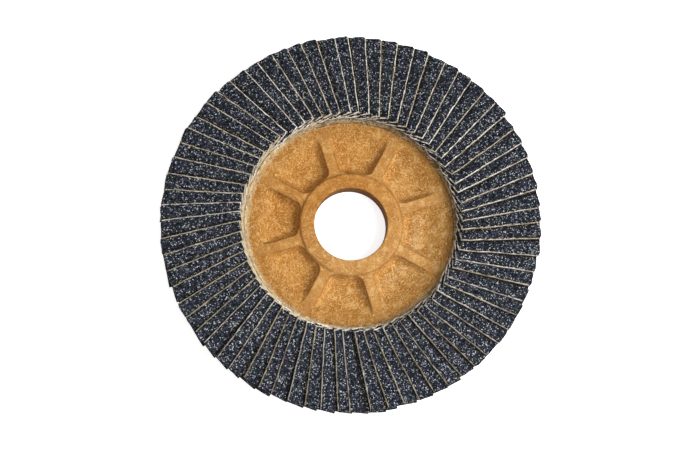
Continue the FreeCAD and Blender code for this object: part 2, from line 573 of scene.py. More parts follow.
@dataclass(frozen=True)
class AbrasiveFinish(Finish):
    """Coated abrasive: near-black mineral on resin, and pale cotton where the cloth is bare."""

    night: Colour = (0.003, 0.003, 0.005)
    slate: Colour = (0.0150, 0.0198, 0.0325)
    steel: Colour = (0.078, 0.096, 0.130)
    painted_glint: Colour = (0.730, 0.775, 0.830)
    singed: Colour = (1.000, 0.900, 0.680)
    cotton: Colour = (0.860, 0.835, 0.790)
    yellowed: Colour = (0.600, 0.520, 0.400)
    between_yarns: Colour = (0.300, 0.220, 0.130)
    cloth_in_shadow: Colour = (0.085, 0.062, 0.038)
    coarse_size: float = 0.40
    fine_size: float = 0.24
    yarn_pitch: float = 0.42
    cloud_scale: float = 900.0
    tinting: float = 0.36
    roughness: float = 0.50
    cloth_roughness: float = 0.90
    gloss: float = 0.10
    relief_strength: float = 0.8

    def material(self, grains: bpy.types.NodeTree, weave: bpy.types.NodeTree) -> bpy.types.Material:
        """Builds the material, which reads bare, tone and warm, and the painted shadow where the next flap
        covers this one.

        Args:
            grains: the group of mineral grains.
            weave: the group of the plain weave.

        Returns:
            The finished material.
        """
        material, n, coords = self.begin("CoatedAbrasive")
        bare, tone, painted_shadow, warm = (n.attribute(key) for key in ("bare", "tone", "painted_shadow", "warm"))

        # Mineral: dark slate grains, some of steel, a tint of their own for each, and a few painted glints
        coarse = n.group(grains, Vector=coords, Size=self.coarse_size)
        fine = n.group(grains, Vector=coords, Size=self.fine_size)
        mineral = n.mix(n.ramp(coarse["Value"], 0.15, 0.75), self.night, self.slate)
        mineral = n.mix(n.ramp(coarse["Value"], 0.74, 0.94, 0.0, 0.55), mineral, self.steel)
        mineral = n.mix(n.ramp(fine["Value"], 0.74, 0.86), mineral, self.steel)
        mineral = n.mix(self.tinting, mineral, coarse["Tint"], "OVERLAY")
        mineral = n.mix(n.ramp(coarse["Value"], 0.965, 0.99, 0.0, 0.3), mineral, self.painted_glint)
        mineral = n.mix(n.ramp(fine["Value"], 0.940, 0.955), mineral, self.painted_glint)
        mineral = n.mix(warm, mineral, self.singed, "MULTIPLY")
        # Painted shade in the gaps between grains, and painted shadow beside the next flap's edge, both
        # near-black
        painted_shade = n.math("MAXIMUM", n.product(coarse["Gap"], 0.6), painted_shadow)
        mineral = n.mix(painted_shade, mineral, self.night)

        # Cloth: cotton, yellower in clouds and on some flaps, with painted shade between yarns and painted
        # shadow where flaps cover it
        cloudy = n.noise(coords, self.cloud_scale)
        aged = n.ramp(n.math("ADD", cloudy, n.product(tone, 0.35)), 0.42, 0.80)
        cloth = n.mix(aged, self.cotton, self.yellowed)
        threads = n.group(weave, Pitch=self.yarn_pitch)
        # Painted shade between the yarns, where the weave is low
        cloth = n.mix(n.ramp(threads["Shade"], 0.0, 1.0, 0.25, 0.0), cloth, self.between_yarns)
        cloth = n.mix(painted_shadow, cloth, self.cloth_in_shadow)

        # The border between them is ragged by the grains
        ragged = n.math("ADD", bare, n.product(n.math("SUBTRACT", fine["Value"], 0.5), 0.5))
        shown = n.ramp(ragged, 0.42, 0.58)
        grain_height = n.math("ADD", coarse["Height"], n.product(fine["Height"], 0.5))
        height = n.add("ShaderNodeMix", {"data_type": "FLOAT"}, i0=shown, i2=grain_height,
                       i3=n.product(threads["Height"], 0.5))
        shader = self.end(n, n.mix(shown, mineral, cloth), height.outputs[0])
        n.fill(shader.inputs["Roughness"], n.ramp(shown, 0.0, 1.0, self.roughness, self.cloth_roughness))
        return material


@dataclass(frozen=True)
class ThreadFinish(Finish):
    """Frayed cotton threads and the resin they are caught in: cream to tan."""

    pale: Colour = (0.840, 0.710, 0.485)
    tan: Colour = (0.440, 0.290, 0.130)
    cream: Colour = (0.860, 0.780, 0.600)
    umber: Colour = (0.060, 0.036, 0.016)
    cloud_scale: float = 700.0
    speck_scale: float = 2600.0
    fuzz_scale: float = 4200.0
    roughness: float = 0.85
    gloss: float = 0.2

    def material(self, name: str, fibres: bpy.types.NodeTree, browner: float) -> bpy.types.Material:
        """Builds the material, which reads the attribute tone and, on the resin, its dark share with painted
        shade.

        Args:
            name: the material's name.
            fibres: the group of short fibres.
            browner: how far the resin's specks and its dark share with painted shade show, from 0 to 1.

        Returns:
            The finished material.
        """
        material, n, coords = self.begin(name)
        cloud = n.noise(coords, self.cloud_scale, 3.0, 0.6)
        share = n.math("ADD", n.product(n.attribute("tone"), 0.5), n.product(cloud, 0.6))
        colour = n.mix(n.ramp(share, 0.35, 1.0), self.pale, self.tan)
        specks = n.noise(coords, self.speck_scale, 2.0, 0.6)
        colour = n.mix(n.ramp(specks, 0.51, 0.62, 0.0, 0.95 * browner), colour, self.tan)
        colour = n.mix(n.ramp(specks, 0.34, 0.46, 0.7 * browner, 0.0), colour, self.cream)
        # Dark resin, with painted shade on the side away from the lamp and on the lit inner face
        colour = n.mix(n.product(n.attribute("resin_and_painted_shade"), browner), colour, self.umber)
        caught = n.group(fibres, Vector=coords, Length=1.6, Width=0.3, Amount=0.4)["Fibres"]
        colour = n.mix(n.product(caught, 0.35), colour, self.tan)
        self.end(n, colour, n.math("ADD", caught, n.noise(coords, self.fuzz_scale)))
        return material


# Sub-assemblies


@dataclass
class BackingPlate:
    """The moulded plate, with its bore, boss, ribs, pockets, collar and rim."""

    material: bpy.types.Material
    bore_radius: float = 11.115
    bore_round: float = 0.35
    boss_radius: float = 15.67
    boss_top: float = 6.9
    boss_round: float = 0.3
    rib_top: float = 6.4
    rib_count: int = 8
    first_rib: float = 17.5
    rib_half_width: float = 1.45
    pocket_depth: float = 2.9
    floor_width: float = 8.0
    floor_rise: float = 0.7
    corner_radius: float = 2.4
    wall_draft: float = 24.0
    wall_top_softness: float = 0.16
    wall_foot_softness: float = 2.0
    floor_bend_softness: float = 0.6
    run_out: float = 28.39
    run_out_softness: float = 0.06
    collar_radius: float = 31.39
    seat: float = 5.9
    rim_back: float = 3.5
    rim_radius: float = 51.2
    hub_face_radius: float = 20.52
    cone_radius: float = 28.79
    sway_size: float = 4.0
    sway_height: float = 0.025
    ripple_size: float = 0.9
    ripple_height: float = 0.012
    dusty_side: float = 157.0
    lit_side: float = -8.0
    painted_light_low_right: float = 310.0
    darkest_on_boss: float = 108.0
    darkest_in_pockets: float = 145.0

    def angles(self, radius: float) -> Array:
        """The angles of the grid's columns at one radius.

        Near a rib, a column keeps its distance from the rib's centre line, so its angle is the arc sine of
        that distance over the radius. The rest share the angle that is left.

        Args:
            radius: the distance from the axis.

        Returns:
            Angles in radians for the whole turn.
        """
        near = np.concatenate([
            np.linspace(0.0, 1.2, 5), np.linspace(1.3, 2.9, 11), np.linspace(3.15, 3.65, 3),
        ])
        shares = np.linspace(0.0, 1.0, 24)[1:-1]
        half = math.pi / self.rib_count
        near_angles = np.arcsin(near / radius)
        rest = near_angles[-1] + (half - near_angles[-1]) * shares
        one_side = np.concatenate([near_angles, rest, [half]])
        sector = np.concatenate([one_side, (2.0 * half - one_side[1:-1])[::-1]])
        starts = math.radians(self.first_rib) + 2.0 * half * np.arange(self.rib_count)
        return (starts[:, None] + sector[None, :]).reshape(-1)

    def wall_and_floor(self, radius: Array, angle: Array) -> Tuple[Array, Array]:
        """The distance into a pocket from its nearest wall, and the depth of its floor.

        The distance is the smaller of those to the rib and to the boss, with a round corner between them.
        The floor is the smaller of two straight lines, a gentle one at the boss and a steep one to the
        collar, with soft bends where they meet and where it runs out.

        Args:
            radius: distances from the axis.
            angle: angles in radians.

        Returns:
            Distances and depths in millimetres.
        """
        sector = 2.0 * math.pi / self.rib_count
        turn = (angle - math.radians(self.first_rib) + sector / 2.0) % sector - sector / 2.0
        to_rib = np.abs(radius * np.sin(turn)) - self.rib_half_width
        to_boss = radius - self.boss_radius
        rho = self.corner_radius
        rounded = rho - np.hypot(np.maximum(rho - to_rib, 0.0), np.maximum(rho - to_boss, 0.0))
        distance = np.where((to_rib < rho) & (to_boss < rho), rounded, np.minimum(to_rib, to_boss))
        bend = self.boss_radius + self.floor_width
        gentle = self.pocket_depth - self.floor_rise * to_boss / self.floor_width
        steep = (self.pocket_depth - self.floor_rise) * (self.run_out - radius) / (self.run_out - bend)
        slope = soft_min(gentle, steep, self.floor_bend_softness)
        floor = 0.5 * (slope + np.sqrt(slope * slope + self.run_out_softness))
        before_collar = smooth_step((self.collar_radius - 1.2 - radius) / 2.0)
        return distance, np.minimum(floor, self.pocket_depth) * before_collar

    def top(self, radius: Array, angle: Array) -> Array:
        """Heights of the working side: rib tops, the boss that stands above them, and the pockets below.

        A wall's depth is the distance from it over the tangent of the draft angle, softened at the top. A
        pocket's depth is the smaller of wall and floor, rounded where they meet.

        Args:
            radius: distances from the axis.
            angle: angles in radians.

        Returns:
            Heights in millimetres.
        """
        distance, floor = self.wall_and_floor(radius, angle)
        soft = self.wall_top_softness
        opened = np.where(distance > 0.0, np.sqrt(distance * distance + soft * soft) - soft, 0.0)
        wall = opened / math.tan(math.radians(self.wall_draft))
        pocket = np.maximum(soft_min(wall, floor, self.wall_foot_softness), 0.0)
        boss = smooth_step((self.boss_radius + 0.05 - radius) / (2.0 * self.boss_round))
        return self.rib_top + (self.boss_top - self.rib_top) * boss - pocket

    def shades(self, radius: Array, angle: Array, height: Array) -> Dict[str, Array]:
        """Attributes of the working side's finish.

        The first is painted shade: strongest at the top of a pocket's wall and round the boss, darker towards
        the collar except on the lit side, and darker low in the bore. skin is the smooth resin on the boss
        and the ribs. The third is cloth dusting along the collar, mostly on the left, and fine powder in the
        pockets on the right, with painted light on the collar at the lower right, where the flaps' shadow
        falls. The fourth is painted shade, darkest towards the upper left, away from the lamp, less on the
        lit side near the collar, and full in the bore.

        Args:
            radius: distances from the axis.
            angle: angles in radians.
            height: heights above the floor.

        Returns:
            The four attributes by name.
        """
        distance, floor = self.wall_and_floor(radius, angle)
        front = smooth_step((height - 2.0) / 0.8) * (radius < self.collar_radius + 0.01)
        in_bore = (radius < self.bore_radius + 0.5 * self.bore_round) & (height > 0.2)
        side = 0.5 + 0.5 * facing(angle, self.dusty_side)
        lit = np.maximum(facing(angle, self.lit_side), 0.0) ** 2

        # Painted shade: dark lines at the top of the walls and round the boss, darker towards the collar but
        # not on the lit side, and darker low in the bore
        corner = 0.74 * hump(distance, 0.20, 0.26) * np.sqrt(floor / self.pocket_depth)
        around = hump(radius - self.boss_radius, 0.10, 0.24) * 0.8
        rim = (0.25 - 0.24 * lit) * smooth_step((radius - 24.5) / 3.5)
        bore = (1.65 - 0.35 * height / self.boss_top) * in_bore
        painted_shade = np.maximum(np.maximum(np.maximum(corner, around), rim) * front, bore)

        skin = smooth_step((0.5 - distance) / 0.7)
        powder = (1.0 - side) * hump(radius, 20.6, 3.4) * smooth_step((distance - 0.3) / 1.2)
        dust_and_painted_light = smooth_step((radius - self.collar_radius + 2.0) / 2.2) * (0.08 + 0.56 * side) + 0.46 * powder
        # Painted light: pale dusting that lifts the flaps' shadow on the collar at the lower right
        low_right = hump(np.degrees(angle) % 360.0, self.painted_light_low_right, 26.0)
        dust_and_painted_light += 0.50 * low_right * smooth_step((radius - 28.6) / 2.4)

        # Painted shade: darker towards the upper left, away from the lamp, less on the lit side near the
        # collar, and full in the bore
        outside = smooth_step((radius - 24.0) / 3.5)
        on_boss = 0.56 + 0.49 * facing(angle, self.darkest_on_boss)
        beyond = 0.35 + 0.35 * facing(angle, self.darkest_in_pockets)
        brown = np.where(radius < self.boss_radius, on_boss, beyond)
        painted_side_shade = (brown * (1.0 - outside) + (0.44 - 0.34 * lit) * outside) * front
        return {"painted_shade": painted_shade, "skin": skin * front, "dust_and_painted_light": dust_and_painted_light * front,
                "painted_side_shade": np.where(in_bore, 1.0, painted_side_shade)}

    def section(self) -> Array:
        """The section, which goes up the bore, out over the top and back underneath.

        Returns:
            Radii and heights, shape (n, 2). Where the top's own formula gives the height, it isn't a number.
        """
        c, bore, hub = self.bore_round, self.bore_radius, self.hub_face_radius
        collar, rim, seat, back = self.collar_radius, self.rim_radius, self.seat, self.rim_back
        quarter = np.linspace(0.0, math.pi / 2.0, 4)
        rising, falling = c * (1 - np.cos(quarter)), c * (1 - np.sin(quarter))
        over = np.concatenate([
            np.linspace(bore + c, self.boss_radius - 0.45, 13)[1:],
            np.linspace(self.boss_radius - 0.35, self.boss_radius + 1.4, 15),
            np.linspace(self.boss_radius + 1.6, collar - 0.25, 50),
        ])
        edge = np.array([
            [collar - 0.08, self.rib_top - 0.03], [collar, self.rib_top - 0.14], [collar, seat],
            [36.0, seat], [42.0, seat], [47.0, seat], [rim - 0.6, seat],
            [rim - 0.15, seat - 0.1], [rim, seat - 0.4], [rim, 5.0], [rim, 4.3],
            [rim - 0.12, 3.95], [rim - 0.35, 3.65], [rim - 0.7, back],
        ])
        return np.concatenate([
            np.stack([bore + falling, rising], 1),
            section_line((bore, bore), (c, self.boss_top - c), 9)[1:-1],
            np.stack([bore + rising, self.boss_top - falling], 1),
            np.stack([over, np.full(len(over), np.nan)], 1),
            edge,
            section_line((rim - 2.0, self.cone_radius + 1.0), (back, back), 12),
            np.array([[self.cone_radius + 0.3, back - 0.03], [self.cone_radius - 0.4, back - 0.2]]),
            section_line((self.cone_radius - 1.2, hub + 1.0), (back - 0.53, 0.44), 7),
            np.array([[hub + 0.3, 0.16], [hub - 0.3, 0.03]]),
            section_line((hub - 1.0, bore + c), (0.0, 0.0), 12)[:-1],
        ])

    def build(self) -> None:
        """Makes the plate as one closed grid that stands for the frame's plate."""
        section = self.section()
        a = np.stack([self.angles(radius) for radius in section[:, 0]])
        r, z = (np.repeat(section[:, i:i + 1], a.shape[1], 1) for i in (0, 1))
        z = np.where(np.isnan(z), self.top(r, a), z)
        points = round_axis(r, a, z)
        sway = (smooth_noise(points, self.sway_size, 3) * self.sway_height
                + smooth_noise(points, self.ripple_size, 4) * self.ripple_height)
        points[:, 2] += sway * smooth_step((points[:, 2] - 0.2) / 0.6)
        values = self.shades(r.reshape(-1), a.reshape(-1), z.reshape(-1))
        mesh = MeshParts(points, [ring_quads(*r.shape, True)], values)
        place(mesh.build("moulded_plate", self.material, smooth=True), ["backing_plate"])


@dataclass
class FlapShape:
    """The sizes of a flap and how the flaps lie on each other, as in the frame."""

    count: int = 72
    first_angle: float = 2.5
    disc_radius: float = 57.5
    length: float = 24.0
    width: float = 15.0
    thickness: float = 0.97
    cloth: float = 0.55
    free_offset: float = 7.0
    play_inner: float = 0.03
    play_outer: float = 0.30
    foot_height: float = 6.5

    def ends(self) -> Tuple[float, float]:
        """The distances of the inner and outer ends along the flap's centre line."""
        outer = math.sqrt(self.disc_radius ** 2 - self.free_offset ** 2)
        return outer - self.length, outer

    def tilts(self) -> List[float]:
        """The angles of the cloth at both ends, whose sines are its thickness with play over the spacing."""
        return [math.asin((self.thickness + play) / (distance * 2.0 * math.pi / self.count))
                for distance, play in zip(self.ends(), (self.play_inner, self.play_outer))]

    def frame(self, share: Array) -> Tuple[Array, Array, Array]:
        """The flap's free edge and directions along its length, by straight lines between its two ends.

        Args:
            share: places along the length, 0 at the inner end and 1 at the outer.

        Returns:
            The free edge's lower corner, the direction down the cloth for one millimetre of its width,
            and the direction out of the abrasive side, each of shape (n, 3), for a flap along +X.
        """
        near, far = (
            np.array([
                [distance, -self.free_offset, self.foot_height + self.width * math.sin(tilt)],
                [0.0, math.cos(tilt), -math.sin(tilt)],
                [0.0, math.sin(tilt), math.cos(tilt)],
            ])
            for distance, tilt in zip(self.ends(), self.tilts())
        )
        s = share[:, None]
        edge, down, out = (near[i] * (1 - s) + far[i] * s for i in range(3))
        return edge, down, out / np.linalg.norm(out, axis=1, keepdims=True)

    def direction(self, number: float) -> float:
        """The direction of a flap's centre line in degrees, by its number."""
        return self.first_angle + number * 360.0 / self.count

    def towards(self, number: float, direction: float) -> float:
        """The cosine of the angle between a flap and a direction in degrees."""
        return math.cos(math.radians(self.direction(number) - direction))

    def turned(self, points: Array, number: float) -> Array:
        """Turns the points of a flap along +X to its place: x cos a - y sin a, and x sin a + y cos a.

        Args:
            points: positions, shape (n, 3).
            number: which flap, from 0, or a place between two flaps.

        Returns:
            The turned points.
        """
        angle = math.radians(self.direction(number))
        c, s = math.cos(angle), math.sin(angle)
        return points @ np.array([[c, s, 0.0], [-s, c, 0.0], [0.0, 0.0, 1.0]])


@dataclass
class FlapPack:
    """The ring of abrasive flaps: cloth with a coat of grains, each cut and set in its own way."""

    shape: FlapShape
    material: bpy.types.Material
    grain_height: float = 0.085
    grain_shift: float = 0.07
    lump_height: float = 0.03
    rows: int = 88
    seed: int = 700
    noise_seed: int = 50
    turn_spread: float = 0.055
    end_spread: float = 0.16
    end_limit: float = 0.3
    skew_spread: float = 0.010
    inner_curl: float = 0.22
    outer_curl: float = 0.16

    def wear_and_shade(self, number: int) -> float:
        """How wide the bare strip along a flap's free edge is, in millimetres: least at the upper right, a
        painted shade on the edges that the lamp lights most.
        """
        return 0.125 - 0.05 * self.shape.towards(number, 25.0)

    def reach(self, number: int) -> float:
        """How far a flap's inner end reaches in, in millimetres: most on the right and at the upper left."""
        upper_left = math.exp(-((self.shape.direction(number) - 128.0) / 26.0) ** 2)
        return 0.26 + 0.30 * self.shape.towards(number, 10.0) + 0.28 * upper_left

    def slant(self, number: int) -> float:
        """How far the inner end leans in for each millimetre from the free edge: most on the right."""
        return 0.10 + 0.06 * self.shape.towards(number, 15.0)

    def proud(self, number: int) -> float:
        """How far a flap's outer end stands out past the frame's, in millimetres.

        The ring is a little oval, longest towards the upper right and the lower left of the picture.

        Args:
            number: which flap, from 0.

        Returns:
            The distance in millimetres.
        """
        angle = math.radians(self.shape.direction(number) - 4.5)
        oval = math.cos(2.0 * (angle - math.radians(38.0)))
        bulge = math.exp(-((math.degrees(angle) - 42.0) / 22.0) ** 2)
        return 0.22 + 0.36 * oval + 0.35 * bulge

    def grid(self) -> Tuple[Array, Array, Array, Array]:
        """A flap's grid: at each place along its length, a loop of points round its section.

        The loop goes down the coated side from the free edge, back underneath and up the cut edge. Its points
        are close where the flap is seen and wide where it is hidden, and the rows are closer at both ends.

        Returns:
            Distances from the free edge and from the inner end, heights as shares of the cloth's, and whether
            a point is on the coated side, each of shape (rows, loop).
        """
        width, length = self.shape.width, self.shape.length
        across = np.concatenate([[0.0, 0.10, 0.22, 0.36, 0.52], np.arange(0.74, 5.5, 0.25),
                                 [6.6, 8.4, 11.0, 13.4], [width]])
        under = np.array([width, width * 0.85, width * 0.6, width * 0.35, width * 0.2, 1.2, 0.4])
        ends = np.array([0.0, 0.12, 0.27, 0.45])
        middle = np.linspace(0.68, length - 0.68, self.rows - 8)
        along = np.concatenate([[0.0, 0.04], ends[1:], middle, length - ends[::-1]])
        loop = np.concatenate([across, under, [0.0, 0.0, 0.0]])
        levels = np.concatenate([np.ones(len(across)), np.zeros(len(under)), [0.0, 0.35, 0.75]])
        coated = np.arange(len(loop)) < len(across)
        shape = (len(along), len(loop))
        a, v, h, top = (np.broadcast_to(x, shape).copy() for x in (loop, along[:, None], levels, coated))
        return a, v, h, top

    def coat(self, number: int, a: Array, v: Array, flat: Array) -> Array:
        """How much of the coat is left, from 0 on bare cloth to 1.

        The distance to the nearest worn edge goes through a smooth step. The bare strip, narrower at the
        upper right as painted shade, changes along the edges by noise, and chips near the free edge take most
        of the coat away.

        Args:
            number: which flap, from 0.
            a: distances from the free edge.
            v: distances from the inner end.
            flat: the places at which the noise is read.

        Returns:
            The coat's amount at each point.
        """
        seed = self.noise_seed + number
        wear_and_shade = (self.wear_and_shade(number) + 0.10 * smooth_noise(flat, 1.1, seed)
                + 0.07 * smooth_noise(flat, 0.4, seed + 9))
        to_edge = np.minimum(np.minimum(a - wear_and_shade, v - 0.13 - 1.1 * wear_and_shade), self.shape.length + 0.08 - v)
        left = smooth_step(to_edge / 0.16 + 0.5)
        chips = smooth_step((smooth_noise(flat, 0.8, seed + 5) - 0.72) / 0.15)
        return left * (1.0 - 0.8 * chips * smooth_step((1.6 - a) / 1.0))

    def cut(self, number: int, a: Array, v: Array, flat: Array, across: Array, along: Array) -> None:
        """Makes the cut edges uneven: noise along each, a slant inside and a clipped outer corner.

        Args:
            number: which flap, from 0.
            a: distances from the free edge.
            v: distances from the inner end.
            flat: the places at which the noise is read.
            across: where the points lie across the flap, which this moves.
            along: where the points lie along the flap, which this moves.
        """
        seed, length = self.noise_seed + number, self.shape.length
        beside, before = flat * np.array([0.0, 1.0, 1.0]), flat * np.array([1.0, 0.0, 1.0])
        edge_slow, edge_fine = smooth_noise(beside, 3.2, seed + 1), smooth_noise(beside, 0.5, seed + 3)
        end_slow, end_fine = smooth_noise(before, 1.3, seed + 4), smooth_noise(before, 0.45, seed + 6)
        inner_end = smooth_step((3.0 - v) / 3.0)
        outer_end = smooth_step((v - length + 1.0) / 1.0)
        across += smooth_step((2.2 - a) / 2.2) * (0.10 * edge_slow + 0.04 * edge_fine)
        along += 0.14 * end_slow * inner_end * (1.0 - v / length)
        along += 0.12 * end_slow * smooth_step((v - length + 2.0) / 2.0)
        along += (0.11 * end_fine - 0.40 * hump(a, 0.0, 0.42)) * outer_end
        along -= self.slant(number) * a * smooth_step((9.5 - a) / 4.0) * inner_end

    def shades(self, a: Array, v: Array, top: Array, coat: Array, tone: float) -> Dict[str, Array]:
        """Attributes of a flap's finish, for the points of its grid and then the middles of its two ends.

        bare is cloth without its coat. The painted shadow is the dark line where the next flap covers this
        one, and painted shade on the lower cut edge and the end faces. warm is the brown beside that line and
        along the free edge. tone is one value for the whole flap.

        Args:
            a: distances from the free edge.
            v: distances from the inner end.
            top: whether a point is on the coated side.
            coat: how much of the coat is left.
            tone: the flap's own value, from 0 to 1.

        Returns:
            The four attributes by name.
        """
        covered = 2.9 + 2.1 * v / self.shape.length
        # Painted shadow where the next flap covers this one, on the lower cut edge and on the end faces
        cloth_in_shadow = np.array([0.0] * (a.shape[1] - 3) + [0.97, 0.90, 0.55])
        bare = np.where(top, 1.0 - coat, 1.0)
        bare[[0, -1]] = 0.15
        painted_shadow = np.where(top, hump(a, covered, 0.42), cloth_in_shadow)
        painted_shadow[0], painted_shadow[-1] = 1.0, 0.6
        warm = np.minimum(0.9 * hump(a, covered, 0.9) + 0.7 * hump(a, 0.0, 0.8), 1.0)
        values = {"bare": (bare, [0.0, 0.0]), "painted_shadow": (painted_shadow, [1.0, 0.6]), "warm": (warm, [0.0, 0.0])}
        shades = {name: np.concatenate([grid.reshape(-1), middles])
                  for name, (grid, middles) in values.items()}
        shades["tone"] = np.full(a.size + 2, tone)
        return shades

    def one(self, number: int) -> MeshParts:
        """One flap as a closed mesh: a loop of points round its section at each row, and a fan at each end.

        A point is the free edge's lower corner, plus the distance across times the direction down the cloth,
        plus the height times the direction out of the abrasive side. The coat's height falls to nothing at
        the cut edges, and a random height at each point of the coat makes the grains.

        Args:
            number: which flap, from 0.

        Returns:
            The flap's mesh in its place.
        """
        rng = np.random.default_rng(self.seed + number)
        length, width, cloth = self.shape.length, self.shape.width, self.shape.cloth
        set_angle = rng.normal(0.0, self.turn_spread)
        proud = self.proud(number) + rng.normal(0.0, self.end_spread)
        uneven = float(np.clip(rng.normal(0.0, self.end_spread), -self.end_limit, self.end_limit))
        start = uneven - self.reach(number)
        skew = rng.normal(0.0, self.skew_spread)

        # Heights: the cloth, the coat on it and its grains
        a, v, h, top = self.grid()
        flat = np.stack([a, v, np.full(a.shape, 7.3 * number)], -1)
        coat = self.coat(number, a, v, flat)
        grains = rng.normal(0.0, self.grain_height, a.shape) * coat
        lump = self.lump_height * smooth_noise(flat, 1.6, self.noise_seed + number + 2)
        full = cloth + (self.shape.thickness - cloth) * coat + grains * 0.6 + lump * coat
        height = np.where(top, full, h * cloth)
        height[0, top[0]] = 0.45 * cloth

        # Places across and along the flap
        inner_part = top & (a > 0.0) & (a < width) & (v > 0.0) & (v < length)
        shift = self.grain_shift
        across, along = (x + np.where(inner_part, rng.uniform(-shift, shift, a.shape), 0.0) for x in (a, v))
        along = start + (along / length) * (length + proud - start)
        self.cut(number, a, v, flat, across, along)

        # The free corners curl up a little at both ends
        edge, down, out = self.shape.frame((along / length).reshape(-1))
        corner = smooth_step((2.6 - a) / 2.6)
        curl = rng.uniform(0.0, self.inner_curl) * smooth_step((3.0 - v) / 3.0) * corner
        curl += rng.uniform(0.0, self.outer_curl) * smooth_step((v - length + 3.0) / 3.0) * corner
        points = edge + down * across.reshape(-1, 1) + out * (height + curl).reshape(-1, 1)
        points[:, 1] += skew * (points[:, 0] - sum(self.shape.ends()) / 2.0)
        points = self.shape.turned(points, number + set_angle)

        # Faces, with a fan round the middle of each end
        rows, loop = a.shape
        first, last = np.arange(loop), np.arange(loop) + (rows - 1) * loop
        middles = [points[ring].mean(0) for ring in (first, last)]
        fans = [np.stack([first, np.roll(first, -1), np.full(loop, a.size)], 1),
                np.stack([np.roll(last, -1), last, np.full(loop, a.size + 1)], 1)]
        uv = np.concatenate([np.stack([a, v], -1).reshape(-1, 2), np.zeros((2, 2))])
        values = self.shades(a, v, top, coat, rng.uniform(0.0, 1.0))
        faces = [ring_quads(rows, loop, False)] + fans
        return MeshParts(np.concatenate([points, middles]), faces, values, uv)

    def build(self) -> None:
        """Makes the flaps in pairs of opposite ones that stand for the frame's pairs."""
        half = self.shape.count // 2
        for number in range(half):
            pair = MeshParts.joined([self.one(number), self.one(number + half)])
            piece = pair.build(f"abrasive_flaps_{number + 1:02d}", self.material, smooth=False)
            place(piece, [f"flap_pair_{number + 1:02d}"])


